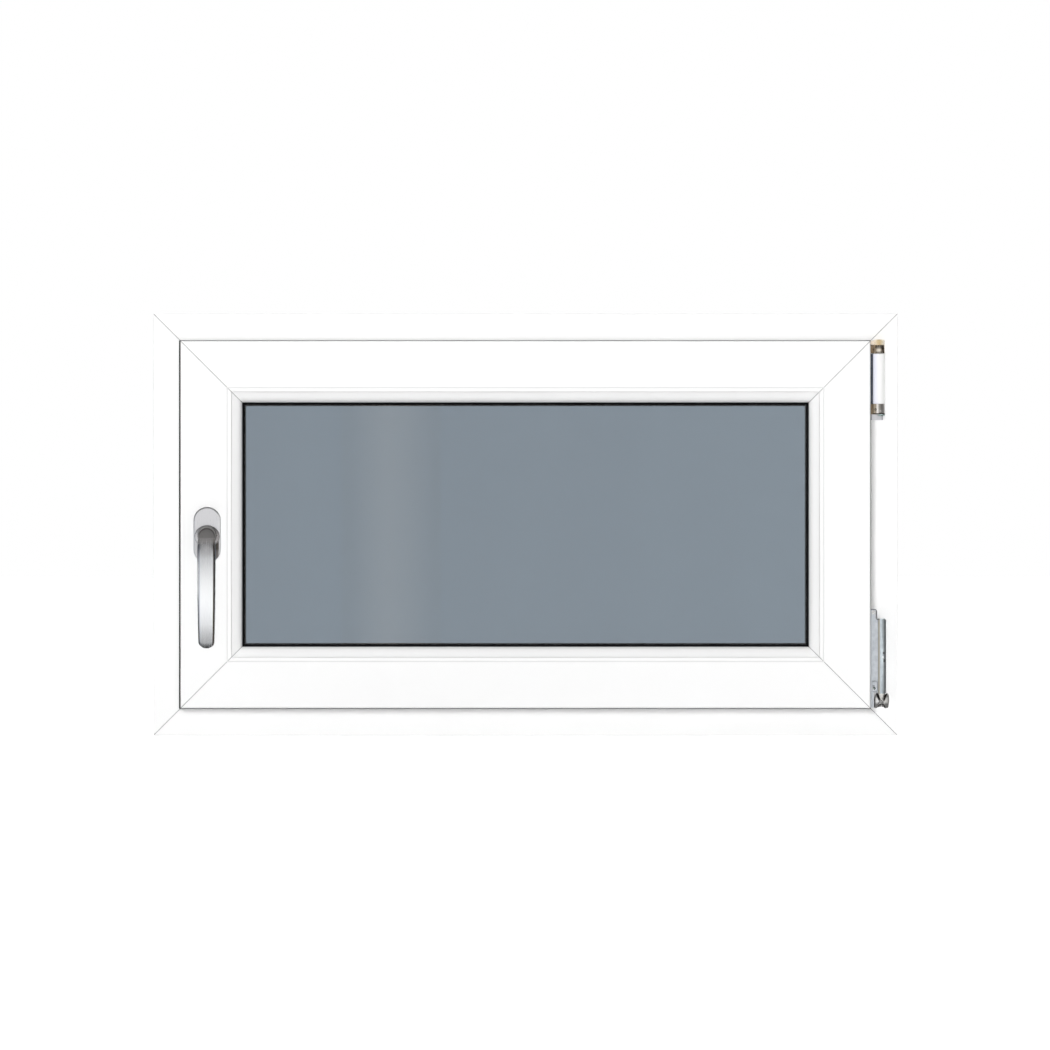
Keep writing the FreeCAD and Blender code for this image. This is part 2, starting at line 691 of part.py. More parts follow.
def make_corner_hinge(parts):
    """The lower hinge: a notched ball on the frame, and a rolled band on the sash that stands in it."""
    ball_bottom = pivot_height - pivot_ball_radius
    notch_tip = pivot_height - pivot_notch_drop
    plate_front = frame_room - pivot_plate_thickness
    notch_angle = math.radians(pivot_notch_angle)
    depth = 2 * pivot_ball_radius
    spread = depth * math.tan(notch_angle)
    notch = Part.Face(Part.makePolygon([
        Vector(hinge_x, plate_front, notch_tip),
        Vector(hinge_x - spread, plate_front, notch_tip + depth),
        Vector(hinge_x + spread, plate_front, notch_tip + depth),
        Vector(hinge_x, plate_front, notch_tip),
    ])).extrude(Vector(0, -2 * depth, 0))
    arch_start = Vector(hinge_x, plate_front, ball_bottom)
    arch = Part.makeCylinder(pivot_arch_radius, 2 * depth, arch_start, Vector(0, -1, 0))
    centre = Vector(hinge_x, hinge_y, pivot_height)
    dome = Part.makeSphere(pivot_ball_radius, centre, Vector(0, -1, 0), 0, 90, 360)
    stem = Part.makeCylinder(pivot_ball_radius, plate_front - hinge_y, centre, Vector(0, 1, 0))
    ball = dome.fuse(stem).cut(notch).cut(arch)
    plate_right = hinge_x - pivot_plate_shift + pivot_plate_width / 2
    plate = box(
        (plate_right - pivot_plate_width, plate_front, ball_bottom),
        (plate_right, frame_room, ball_bottom + pivot_plate_height))
    parts["corner_pivot"] = plate.fuse(ball).removeSplitter().Solids[0]

    band_low = sash_inset + band_bottom_rise
    band_high = band_low + band_height
    tongue_high = band_high + band_tongue_height
    cone_height = (band_sleeve_radius - band_tip_radius) / math.tan(notch_angle)
    tip_height = running_gap / math.sin(notch_angle) + band_tip_radius / math.tan(notch_angle)
    sleeve_low = notch_tip + tip_height + cone_height
    flange_back = hinge_y + band_thickness / 2
    flange_front = flange_back - band_thickness
    leg_front = hinge_y - band_leg_depth / 2
    flange = box((sash_edge_x, flange_front, band_low), (hinge_x, flange_back, band_high))
    leg = box(
        (sash_edge_x, leg_front, band_low),
        (sash_edge_x + band_thickness, leg_front + band_leg_depth, band_high))
    tongue = box(
        (sash_edge_x, flange_front, band_high),
        (sash_edge_x + band_tongue_width, flange_back, tongue_high))
    shoulder = [
        edge for edge in tongue.Edges
        if edge.BoundBox.ZMin > tongue_high - 1e-4
        and edge.BoundBox.XMin > sash_edge_x + band_tongue_width - 1e-4]
    tongue = tongue.makeFillet(band_tongue_rounding, shoulder)
    hole_start = Vector(sash_edge_x + band_tongue_width / 2, leg_front, tongue_high - band_tongue_width / 2)
    hole = Part.makeCylinder(band_tongue_hole_radius, band_leg_depth, hole_start, Vector(0, 1, 0))
    tongue = tongue.cut(hole)
    room_for_ball = box(
        (hinge_x - pivot_ball_radius - running_gap, leg_front, band_low - 1),
        (hinge_x + pivot_ball_radius, plate_front, pivot_height + pivot_ball_radius + running_gap))
    band = flange.multiFuse([leg, tongue]).cut(room_for_ball)
    sleeve = upright(band_sleeve_radius, sleeve_low, band_high)
    tip = Vector(hinge_x, hinge_y, sleeve_low - cone_height)
    cone = Part.makeCone(band_tip_radius, band_sleeve_radius, cone_height, tip)
    parts["corner_band"] = band.multiFuse([sleeve, cone]).removeSplitter().Solids[0]


def main():
    parts = {}
    make_frame(parts)
    make_sash(parts)
    make_glazing(parts)
    make_seals(parts)
    make_rosette(parts)
    make_lever(parts)
    make_stay_hinge(parts)
    make_corner_hinge(parts)
    os.makedirs("parts", exist_ok=True)
    for name, shape in parts.items():
        shape.exportStep(os.path.join("parts", name + ".step"))
        print(name, len(shape.Solids), shape.isValid(), round(shape.Volume / 1000, 1), "cm3")


main()
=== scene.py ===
import math

import bmesh
import bpy
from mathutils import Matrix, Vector


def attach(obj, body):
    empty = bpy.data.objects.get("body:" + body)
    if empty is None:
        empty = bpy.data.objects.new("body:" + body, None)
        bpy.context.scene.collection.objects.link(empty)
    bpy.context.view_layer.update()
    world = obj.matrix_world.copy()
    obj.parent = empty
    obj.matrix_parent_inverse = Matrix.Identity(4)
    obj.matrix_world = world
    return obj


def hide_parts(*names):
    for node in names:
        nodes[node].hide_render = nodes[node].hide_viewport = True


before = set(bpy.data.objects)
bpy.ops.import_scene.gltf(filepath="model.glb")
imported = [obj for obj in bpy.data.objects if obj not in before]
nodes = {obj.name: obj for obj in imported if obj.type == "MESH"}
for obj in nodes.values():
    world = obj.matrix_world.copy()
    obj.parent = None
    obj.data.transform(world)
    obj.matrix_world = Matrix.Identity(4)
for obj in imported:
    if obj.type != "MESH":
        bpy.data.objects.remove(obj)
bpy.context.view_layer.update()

# The photograph, taken square on from far away. Metres everywhere, only the sensor in millimetres.
PICTURE_WIDTH = 1.2702
PICTURE_CENTRE_X = -0.0006
PICTURE_CENTRE_HEIGHT = 0.2545
CAMERA_DISTANCE = 20.0
SENSOR = 36.0

# The window's own places that the materials and the small pieces need, from the CAD source.
HALF_WIDTH = 0.450
HALF_HEIGHT = 0.255
FACE_Y = -0.035
SASH_Y = -0.051
SASH_EDGE_X = 0.417
SHADOW_LINE_INSET = 0.0895

# The handle; the upper edges of collar and neck come down by NECK_DROP.
HANDLE_X = -0.3847
HANDLE_Z = 0.2425
PLATE_FRONT_Y = SASH_Y - 0.0105
PLATE_HALF_WIDTH = 0.0165
PLATE_HALF_HEIGHT = 0.034
COLLAR_RADIUS = 0.0152
COLLAR_BORE = 0.0107
NECK_RADIUS = 0.0104
NECK_DROP = 0.0018
NECK_LENGTH = 0.021
BEND_RADIUS = 0.015
GRIP_LENGTH = 0.125
GRIP_HALF_WIDTH = 0.0111
GRIP_END_HALF_WIDTH = 0.0099

# The lower hinge: the hinge line, the notched ball, the cone in its notch, the band.
HINGE_X = 0.4303
HINGE_Y = -0.044
BALL_Z = 0.0428
BALL_RADIUS = 0.0089
PIVOT_PLATE_Y = -0.0381
CONE_TIP_Z = 0.0440
CONE_TOP_Z = 0.0506
BAND_FACE_Y = HINGE_Y - 0.0011

# The upper hinge: its bodies stand a little left of the hinge line.
STAY_X = HINGE_X - 0.003
STAY_RADIUS = 0.0072
STAY_END_Z = 0.4619
KNUCKLE_LOW_Z = 0.3884
KNUCKLE_HIGH_Z = 0.4008

# The strip of light that the glass mirrors stands behind the camera.
STRIP_X = -0.365
STRIP_Y = -25.0
STRIP_WIDTH = 0.27
STRIP_HALF_HEIGHT = 4.0

# Colours that come up again, and the stretch of a pattern that runs no way in particular.
WHITE = (1.0, 1.0, 1.0)
# The near black below is the colour of painted shade.
SHADE_BLACK = (0.022, 0.019, 0.016)
PVC = ((0.945, 0.945, 0.943), (0.962, 0.962, 0.960))
EVEN = (1.0, 1.0, 1.0)


# ---- node trees

class Tree:
    """A short way to write a material's or the world's nodes."""

    def __init__(self, owner):
        owner.use_nodes = True
        self.nodes = owner.node_tree.nodes
        self.links = owner.node_tree.links

    def add(self, kind, inputs=None, **settings):
        node = self.nodes.new("ShaderNode" + kind)
        for name, value in settings.items():
            setattr(node, name, value)
        for name, value in (inputs or {}).items():
            self.put(node.inputs[name], value)
        return node

    def put(self, socket, value):
        if isinstance(value, bpy.types.NodeSocket):
            self.links.new(value, socket)
        else:
            socket.default_value = value

    def feed(self, shader, **sockets):
        """Links values to a shader's sockets, with _ for the spaces in their names."""
        for name, value in sockets.items():
            self.put(shader.inputs[name.replace("_", " ")], value)

    def coordinates(self, stretch=EVEN):
        """Object coordinates, stretched so that a pattern can run along a bar."""
        place = self.add("TexCoord").outputs["Object"]
        return self.add("Mapping", {"Vector": place, "Scale": stretch}).outputs["Vector"]

    def place(self):
        """The X, Y and Z of a point of the window, in metres."""
        parts = self.add("SeparateXYZ", {"Vector": self.add("TexCoord").outputs["Object"]})
        return parts.outputs["X"], parts.outputs["Y"], parts.outputs["Z"]

    def noise(self, vector, scale, detail=3.0, roughness=0.5):
        node = self.add("TexNoise", {
            "Vector": vector, "Scale": scale, "Detail": detail, "Roughness": roughness})
        return node.outputs["Fac"]

    def ramp(self, value, stops):
        """A colour ramp; a stop is (place, colour)."""
        node = self.add("ValToRGB", {"Fac": value})
        elements = node.color_ramp.elements
        while len(elements) < len(stops):
            elements.new(0.5)
        for element, (place, colour) in zip(elements, stops):
            element.position = place
            element.color = (*colour, 1.0)
        return node.outputs["Color"]

    def carry(self, value, start, end, low=0.0, high=1.0):
        """Carries start ... end over to low ... high, which hold beyond them."""
        return self.add("MapRange", {
            "Value": value, "From Min": start, "From Max": end,
            "To Min": low, "To Max": high}).outputs["Result"]

    def spread(self, noise, low, high):
        """Carries a noise's middle range over to low ... high."""
        return self.carry(noise, 0.3, 0.7, low, high)

    def across(self, middle, half_width):
        """0 at the left edge of something upright, 1 at its right edge."""
        return self.carry(self.place()[0], middle - half_width, middle + half_width)

    def near(self, value, middle, half_width, soft):
        """A mask: 1 within half_width of middle, falling to 0 over soft."""
        distance = self.math("ABSOLUTE", self.math("SUBTRACT", value, middle))
        return self.carry(distance, half_width, half_width + soft, 1.0, 0.0)

    def math(self, operation, *values):
        node = self.add("Math", operation=operation)
        for socket, value in zip(node.inputs, values):
            self.put(socket, value)
        return node.outputs["Value"]

    def chain(self, operation, values):
        total = values[0]
        for value in values[1:]:
            total = self.math(operation, total, value)
        return total

    def each(self, *masks):
        """The masks multiplied: 1 only where every one of them is."""
        return self.chain("MULTIPLY", masks)

    def most(self, *masks):
        """The strongest of the masks."""
        return self.chain("MAXIMUM", masks)

    def length(self, one, other):
        """The distance that two differences make together."""
        squares = self.math("ADD", self.math("MULTIPLY", one, one), self.math("MULTIPLY", other, other))
        return self.math("SQRT", squares)

    def blend(self, factor, first, second, mode="MIX"):
        node = self.add("Mix", data_type="RGBA", blend_type=mode)
        self.put(node.inputs[0], factor)
        for socket, value in ((node.inputs[6], first), (node.inputs[7], second)):
            self.put(socket, (*value, 1.0) if isinstance(value, tuple) else value)
        return node.outputs[2]

    def times(self, colour, tint):
        return self.blend(1.0, colour, tint, "MULTIPLY")

    def bump(self, height, strength, distance, under=None):
        inputs = {"Height": height, "Strength": strength, "Distance": distance}
        if under is not None:
            inputs["Normal"] = under
        return self.add("Bump", inputs).outputs["Normal"]


def principled(name, **sockets):
    """A material with its Principled shader; values go straight onto the sockets."""
    made = bpy.data.materials.new(name)
    tree = Tree(made)
    shader = tree.nodes["Principled BSDF"]
    for socket, value in sockets.items():
        shader.inputs[socket.replace("_", " ")].default_value = value
    return made, tree, shader


def source(shader, name):
    """What feeds a shader's socket so far."""
    return shader.inputs[name].links[0].from_socket


# ---- materials

def plastic(name, along, tones=PVC):
    """Extruded white PVC: nearly even colour, faint draw lines along the bar, grey weld lines, and a
    painted shadow line round the sash.
    """
    made, tree, shader = principled(name, IOR=1.5)
    stretch = {"x": (0.04, 1.0, 1.0), "z": (1.0, 1.0, 0.04)}[along]
    cloud = tree.noise(tree.coordinates(), 7.0, 4.0)
    drawn = tree.noise(tree.coordinates(stretch), 650.0, 2.0)
    grain = tree.noise(tree.coordinates(), 2600.0, 2.0)
    dirt = tree.ramp(tree.noise(tree.coordinates(), 90.0, 3.0), [
        (0.3, (0.36, 0.36, 0.36)), (0.7, (0.50, 0.50, 0.495))])
    x, y, z = tree.place()
    from_side = tree.math("SUBTRACT", HALF_WIDTH, tree.math("ABSOLUTE", x))
    from_middle = tree.math("ABSOLUTE", tree.math("SUBTRACT", z, HALF_HEIGHT))
    from_level = tree.math("SUBTRACT", HALF_HEIGHT, from_middle)
    # The welds run along the mitres, where the distances to two outer edges are equal.
    weld = tree.near(tree.math("SUBTRACT", from_side, from_level), 0.0, 0.00042, 0.00030)
    # A fine shadow line is painted round the sash's room face.
    line = tree.near(tree.math("MINIMUM", from_side, from_level), SHADOW_LINE_INSET, 0.0004, 0.0004)
    line = tree.each(line, tree.math("LESS_THAN", y, SASH_Y + 0.001))
    colour = tree.blend(weld, tree.ramp(cloud, [(0.3, tones[0]), (0.7, tones[1])]), dirt)
    relief = tree.bump(drawn, 0.05, 0.00002)
    tree.feed(shader, Base_Color=tree.blend(line, colour, (0.80, 0.80, 0.80)),
              Roughness=tree.spread(drawn, 0.30, 0.37),
              Normal=tree.bump(grain, 0.05, 0.00002, relief))
    return made


def rubber(name):
    """Black gasket rubber, matt and a little uneven."""
    made, tree, shader = principled(name, IOR=1.52, Specular_IOR_Level=0.08)
    cloud = tree.noise(tree.coordinates(), 60.0, 4.0)
    grain = tree.noise(tree.coordinates(), 1800.0, 3.0)
    colour = tree.ramp(cloud, [(0.3, (0.005, 0.005, 0.006)), (0.7, (0.011, 0.011, 0.012))])
    tree.feed(shader, Base_Color=colour, Roughness=tree.spread(cloud, 0.55, 0.70),
              Normal=tree.bump(grain, 0.25, 0.00006))
    return made


def metal(name, low, high, rough, stretch, line_scale, line_depth, mottling):
    """Brushed or plated metal: colour clouds, brush lines in the roughness and the relief."""
    made, tree, shader = principled(name, Metallic=1.0)
    cloud = tree.noise(tree.coordinates(), mottling, 5.0, 0.6)
    lines = tree.noise(tree.coordinates(stretch), line_scale, 3.0, 0.7)
    tone = tree.ramp(cloud, [(0.32, low), (0.68, high)])
    fleck = tree.ramp(lines, [(0.3, (0.92, 0.92, 0.92)), (0.7, WHITE)])
    tree.feed(shader, Base_Color=tree.times(tone, fleck), Roughness=tree.spread(lines, *rough),
              Normal=tree.bump(lines, 0.35, line_depth))
    return made, tree, shader


def painted_bands_across(made, middle, half_width, stops):
    """Multiplies a metal's colour by a ramp over X: painted bands of highlight and shade side by side, as
    reflections would lie across a round body.
    """
    _, tree, shader = made
    tint = tree.ramp(tree.across(middle, half_width), stops)
    tree.feed(shader, Base_Color=tree.times(source(shader, "Base Color"), tint))
    return made


def glass(name, tint_low, tint_high):
    """Coated insulating glass: grey in the mass, with faint upright clouds in the coating."""
    made, tree, shader = principled(name, IOR=1.5, Roughness=0.0, Transmission_Weight=1.0)
    cloud = tree.noise(tree.coordinates((1.0, 1.0, 0.12)), 5.0, 2.0)
    tree.feed(shader, Base_Color=tree.ramp(cloud, [(0.35, tint_low), (0.65, tint_high)]))
    return made


def cap_plastic():
    """The hinge cover: white, with painted reflection and shade across it: a touch blue and darker on its
    left, warm and lighter on its right.
    """
    made, tree, shader = principled("cap_plastic", IOR=1.5)
    grain = tree.noise(tree.coordinates(), 900.0, 3.0)
    colour = tree.ramp(tree.across(STAY_X, STAY_RADIUS), [
        (0.0, (0.82, 0.83, 0.92)), (0.35, (0.90, 0.90, 0.97)), (0.55, (0.95, 0.95, 0.95)),
        (1.0, (0.98, 0.98, 0.965))])
    tree.feed(shader, Base_Color=colour, Roughness=tree.spread(grain, 0.28, 0.40),
              Normal=tree.bump(grain, 0.06, 0.00003))
    return made


def lever_metal():
    """The lever's brushed metal, painted with shade where it bends into the neck and with dark lines of
    painted shade along its edges.
    """
    made = metal("satin_metal", (0.93, 0.945, 0.965), (0.965, 0.98, 0.995), (0.20, 0.30),
                 (1.0, 0.04, 0.012), 1700.0, 0.00002, 18.0)
    _, tree, shader = made
    x, _, z = tree.place()
    bend = tree.ramp(tree.carry(z, HANDLE_Z - 0.028, HANDLE_Z + 0.012), [
        (0.0, (0.95, 0.95, 0.94)), (0.132, (0.82, 0.81, 0.80)), (0.255, (0.69, 0.68, 0.67)),
        (0.378, (0.53, 0.52, 0.51)), (0.505, (0.41, 0.395, 0.385)), (0.628, (0.20, 0.19, 0.185)),
        (0.752, (0.19, 0.18, 0.175)), (0.85, (0.16, 0.15, 0.145)), (1.0, (0.16, 0.15, 0.145))])
    colour = tree.times(source(shader, "Base Color"), bend)
    # Painted shade: a dark line along each flank; the flanks come in a little towards the grip's end.
    grip_height = 0.116
    share = tree.math("DIVIDE", tree.math("SUBTRACT", HANDLE_Z - BEND_RADIUS, z), grip_height)
    flank = tree.math("MULTIPLY_ADD", tree.each(share, share),
                      GRIP_END_HALF_WIDTH - GRIP_HALF_WIDTH, GRIP_HALF_WIDTH)
    aside = tree.math("SUBTRACT", x, HANDLE_X)
    right = tree.near(tree.math("SUBTRACT", flank, aside), 0.0017, 0.0008, 0.0004)
    colour = tree.blend(right, colour, (0.24, 0.21, 0.19))
    left = tree.near(tree.math("ADD", flank, aside), 0.0008, 0.0007, 0.0005)
    low_down = tree.carry(z, HANDLE_Z - 0.118, HANDLE_Z - 0.070, 0.85, 0.0)
    colour = tree.blend(tree.each(left, low_down), colour, (0.30, 0.28, 0.27))
    # The neck's upper half gets a dark outline of painted shade, with paler painted metal beyond it.
    from_neck = tree.length(aside, tree.math("SUBTRACT", z, HANDLE_Z - NECK_DROP))
    upper = tree.carry(z, HANDLE_Z - 0.006, HANDLE_Z + 0.001)
    outline = tree.each(tree.near(from_neck, 0.0096, 0.0006, 0.0007), upper)
    colour = tree.blend(outline, colour, (0.045, 0.04, 0.036))
    beyond = tree.each(tree.math("GREATER_THAN", from_neck, 0.0103), upper)
    colour = tree.blend(beyond, colour, (0.42, 0.41, 0.40))
    # Painted shade darkens the grip towards its tip.
    tip = tree.carry(z, HANDLE_Z - 0.128, HANDLE_Z - 0.108, 0.78, 1.0)
    tone = tree.add("CombineColor", {"Red": tip, "Green": tip, "Blue": tip}).outputs["Color"]
    # The neck mirrors less than the grip, and is duller, so that its painted shade holds.
    neck_metallic = tree.carry(z, HANDLE_Z - 0.014, HANDLE_Z - 0.004, 1.0, 0.20)
    paler = tree.each(left, tree.near(z, HANDLE_Z - 0.052, 0.012, 0.018))
    dull = tree.carry(z, HANDLE_Z - 0.006, HANDLE_Z + 0.006, 0.0, 0.40)
    tree.feed(shader, Base_Color=tree.times(colour, tone),
              Metallic=tree.math("MULTIPLY_ADD", paler, -0.5, neck_metallic),
              Roughness=tree.math("ADD", source(shader, "Roughness"), dull))
    return made


def plate_metal():
    """The cover plate's satin metal, with the lever's shadow painted on it low on the right beside the
    lever.
    """
    made = metal("satin_plate", (0.72, 0.72, 0.735), (0.77, 0.77, 0.78), (0.26, 0.36),
                 (1.0, 1.0, 0.03), 2000.0, 0.00001, 18.0)
    _, tree, shader = made
    x, y, z = tree.place()
    # The painted shadow of the lever: on the plate's front below the handle's axis, darkest low on the
    # right.
    below = tree.each(tree.carry(z, HANDLE_Z - 0.003, HANDLE_Z + 0.003, 1.0, 0.0),
                      tree.math("LESS_THAN", y, PLATE_FRONT_Y + 0.0007))
    dark = tree.each(tree.near(x, HANDLE_X + 0.0117, 0.0016, 0.0019), below)
    colour = tree.blend(dark, source(shader, "Base Color"), (0.22, 0.205, 0.20))
    darkest = tree.each(tree.near(x, HANDLE_X + 0.0122, 0.0016, 0.0010),
                        tree.near(z, HANDLE_Z - 0.0135, 0.0030, 0.0040), below)
    tree.feed(shader, Base_Color=tree.blend(darkest, colour, (0.11, 0.10, 0.09)),
              Metallic=tree.carry(x, HANDLE_X + 0.0125, HANDLE_X + 0.0145, 1.0, 0.25))
    return made


def cream_lacquer():
    """The crown of the upper hinge: a yellowed lacquer over metal, patchy, with painted bands of light and
    shade across it.
    """
    made, tree, shader = principled("cream_lacquer", IOR=1.5)
    cloud = tree.noise(tree.coordinates(), 320.0, 3.0)
    patches = tree.ramp(cloud, [
        (0.30, (0.80, 0.74, 0.64)), (0.50, (0.95, 0.92, 0.86)), (0.72, WHITE)])
    tone = tree.ramp(tree.across(STAY_X, STAY_RADIUS), [
        (0.0, (0.93, 0.83, 0.73)), (0.26, (0.92, 0.82, 0.66)), (0.40, (0.74, 0.60, 0.38)),
        (0.60, (0.66, 0.52, 0.32)), (0.78, (0.84, 0.76, 0.60)), (1.0, (0.97, 0.96, 0.92))])
    tree.feed(shader, Base_Color=tree.times(tone, patches), Roughness=tree.spread(cloud, 0.30, 0.48),
              Normal=tree.bump(cloud, 0.2, 0.00008))
    return made


def pivot_metal():
    """The lower hinge's ball: bright nickel with painted shade and painted reflections, and pale zinc
    where the plate lies on the frame.
    """
    made = metal("bright_nickel", (0.94, 0.93, 0.90), (1.0, 0.99, 0.97), (0.08, 0.18),
                 EVEN, 500.0, 0.00002, 120.0)
    _, tree, shader = made
    x, y, z = tree.place()
    aside = tree.math("ABSOLUTE", tree.math("SUBTRACT", x, HINGE_X))
    rise = tree.math("SUBTRACT", z, BALL_Z)
    left = tree.math("LESS_THAN", x, HINGE_X)
    # Painted shade darkens both sides of the notch, the arch between the feet and the outer rims.
    notch = tree.math("MULTIPLY_ADD", rise, 0.40, 0.0024)
    past = tree.math("SUBTRACT", tree.math("SUBTRACT", aside, notch),
                     tree.math("MULTIPLY_ADD", left, -0.0004, 0.0004))
    sides = tree.each(tree.near(past, 0.0, 0.0012, 0.0005),
                      tree.math("GREATER_THAN", rise, -0.0035),
                      tree.carry(rise, -0.0014, 0.0004, 0.66, 1.0))
    from_arch = tree.length(aside, tree.math("SUBTRACT", z, BALL_Z - BALL_RADIUS))
    arch = tree.near(from_arch, 0.0040, 0.0004, 0.0004)
    rim = tree.each(tree.near(aside, 0.0092, 0.0014, 0.0006), tree.near(rise, 0.0, 0.0100, 0.0010),
                    tree.math("MULTIPLY_ADD", left, 0.57, 0.42))
    # Painted reflection: the faces are bright in the middle, and painted dark towards the horns above and
    # the feet below.
    horns = tree.each(tree.carry(rise, 0.0018, 0.0042, 0.0, 0.62),
                      tree.math("LESS_THAN", rise, 0.0120))
    feet = tree.each(tree.carry(rise, -0.0050, -0.0018, 0.70, 0.0),
                     tree.math("GREATER_THAN", rise, -0.0120))
    # Below the notch the two faces part again, each in a thin line of painted shade.
    parting = tree.math("MULTIPLY_ADD", rise, -0.5, tree.math("MULTIPLY_ADD", left, 0.0019, -0.0003))
    lines = tree.each(tree.near(tree.math("SUBTRACT", aside, parting), 0.0, 0.0007, 0.0006),
                      tree.near(rise, -0.0034, 0.0026, 0.0008), 0.80)
    corner = tree.each(tree.near(x, HINGE_X, 0.0008, 0.0008),
                       tree.near(z, BALL_Z - 0.0035, 0.0008, 0.0010), 0.7)
    # Together these masks are the ball's painted shade.
    painted_shade = tree.most(sides, arch, rim, horns, feet, lines, corner)
    ball = tree.blend(painted_shade, source(shader, "Base Color"), SHADE_BLACK)
    plate = tree.ramp(tree.noise(tree.coordinates(), 180.0, 3.0), [
        (0.3, (0.80, 0.80, 0.80)), (0.7, (0.90, 0.90, 0.90))])
    # Painted shade in the notch's gap, on the plate seen through it.
    gap = tree.each(tree.near(aside, 0.0, 0.0056, 0.0004), tree.near(rise, 0.0035, 0.0050, 0.0008))
    plate = tree.blend(gap, plate, SHADE_BLACK)
    behind = tree.math("GREATER_THAN", y, PIVOT_PLATE_Y)
    tree.feed(shader, Base_Color=tree.blend(behind, ball, plate),
              Metallic=tree.carry(behind, 0.0, 1.0, 0.45, 0.0))
    return made


def bearing_steel():
    """The upper hinge's bearing: a dark plate behind the cover, a yellowed knuckle with painted bands of
    highlight and shade, a pale foot with lines of painted shade.
    """
    made = painted_bands_across(metal(
        "bearing_steel", (0.80, 0.77, 0.72), (0.93, 0.91, 0.88), (0.26, 0.40),
        (1.0, 1.0, 0.3), 500.0, 0.00003, 220.0), STAY_X, STAY_RADIUS, [
            (0.0, (0.34, 0.27, 0.19)), (0.03, (0.46, 0.38, 0.28)), (0.12, (0.78, 0.68, 0.54)),
            (0.20, (0.48, 0.41, 0.33)), (0.28, (0.84, 0.78, 0.70)), (0.37, (1.08, 1.07, 1.06)),
            (0.45, (0.68, 0.67, 0.66)), (0.54, (0.30, 0.29, 0.27)), (0.66, (0.26, 0.25, 0.24)),
            (0.74, (0.26, 0.26, 0.26)), (0.82, (0.40, 0.40, 0.40)), (1.0, (0.80, 0.80, 0.80))])
    _, tree, shader = made
    x, _, z = tree.place()
    patch = tree.noise(tree.coordinates(), 150.0, 3.0)
    slate = tree.ramp(patch, [(0.3, (0.07, 0.08, 0.10)), (0.7, (0.12, 0.13, 0.16))])
    pale = tree.ramp(patch, [(0.3, (0.56, 0.56, 0.58)), (0.7, (0.66, 0.66, 0.68))])
    # Lines of painted shade on the foot, by its left edge and near its right end, and a pale strip beyond.
    rims = tree.most(tree.near(x, SASH_EDGE_X + 0.0013, 0.0005, 0.0005),
                     tree.near(x, STAY_X + 0.0042, 0.0004, 0.0005))
    pale = tree.blend(rims, pale, (0.32, 0.32, 0.34))
    white_edge = tree.near(x, STAY_X + 0.0064, 0.0012, 0.0004)
    pale = tree.blend(white_edge, pale, (0.90, 0.90, 0.90))
    plate = tree.math("GREATER_THAN", z, KNUCKLE_HIGH_Z)
    foot = tree.math("LESS_THAN", z, KNUCKLE_LOW_Z)
    upper = tree.blend(plate, source(shader, "Base Color"), slate)
    knuckle = tree.each(tree.math("SUBTRACT", 1.0, plate), tree.math("SUBTRACT", 1.0, foot))
    tree.feed(shader, Base_Color=tree.blend(foot, upper, pale),
              Metallic=tree.math("MULTIPLY_ADD", knuckle, -0.45, 1.0))
    return made


def band_steel():
    """The lower hinge's band: clouded zinc, a darker left edge of painted shade, a tan seam beside the
    sleeve, and painted shading across the sleeve.
    """
    made = metal("band_zinc", (0.54, 0.56, 0.60), (0.70, 0.72, 0.755), (0.30, 0.48),
                 (1.0, 1.0, 0.12), 700.0, 0.00003, 150.0)
    _, tree, shader = made
    x, _, z = tree.place()

    def spot(middle_x, middle_z, half_width, half_height):
        return tree.each(tree.near(x, middle_x, half_width, 0.0006),
                         tree.near(z, middle_z, half_height, 0.0006))

    seam = tree.near(x, HINGE_X - 0.0029, 0.0007, 0.0006)
    colour = tree.blend(seam, source(shader, "Base Color"), (0.66, 0.61, 0.50))
    # Painted shade along the band's left edge.
    edge = tree.near(x, SASH_EDGE_X + 0.0004, 0.0005, 0.0006)
    colour = tree.blend(edge, colour, (0.40, 0.41, 0.44))
    # Painted shading across the sleeve: brighter over its front, dark on its right flank.
    shade = tree.ramp(tree.carry(x, HINGE_X - 0.0018, HINGE_X + 0.0045), [
        (0.0, (0.92, 0.94, 0.94)), (0.20, (1.10, 1.20, 1.20)), (0.54, (1.06, 1.13, 1.12)),
        (0.76, (0.60, 0.64, 0.62)), (1.0, (0.34, 0.36, 0.36))])
    colour = tree.times(colour, shade)
    # Painted shade: two dents in the sleeve, and the thin shadows round the tongue and under the pocket.
    dark = tree.most(
        spot(HINGE_X + 0.0028, 0.0998, 0.0006, 0.0010), spot(HINGE_X + 0.0034, 0.0905, 0.0006, 0.0016),
        spot(0.4245, 0.1467, 0.0006, 0.0056), spot(0.4262, 0.1407, 0.0014, 0.0005),
        spot(0.4205, 0.1523, 0.0032, 0.0004), tree.each(spot(0.4209, 0.0600, 0.0011, 0.0003), 0.75))
    colour = tree.blend(dark, colour, (0.10, 0.10, 0.11))
    # A painted highlight beside the dents.
    glint = spot(HINGE_X + 0.0018, 0.0948, 0.0006, 0.0010)
    colour = tree.blend(glint, colour, (0.92, 0.94, 0.95))
    # The cone under the sleeve: painted as a bright wedge, between the two dark gaps of painted shade in
    # the notch.
    aside = tree.math("ABSOLUTE", tree.math("SUBTRACT", x, HINGE_X))
    wedge = tree.math("SUBTRACT", aside, tree.math("MULTIPLY_ADD", z, 0.25, -0.25 * CONE_TIP_Z))
    within = tree.near(wedge, 0.0, 0.0015, 0.0003)
    cone = tree.blend(within, (0.04, 0.04, 0.04), (0.97, 0.96, 0.93))
    low = tree.each(tree.math("LESS_THAN", z, CONE_TOP_Z), tree.math("LESS_THAN", aside, 0.0048))
    tree.feed(shader, Base_Color=tree.blend(low, colour, cone),
              Metallic=tree.carry(tree.each(low, within), 0.0, 1.0, 0.55, 0.05))
    return made


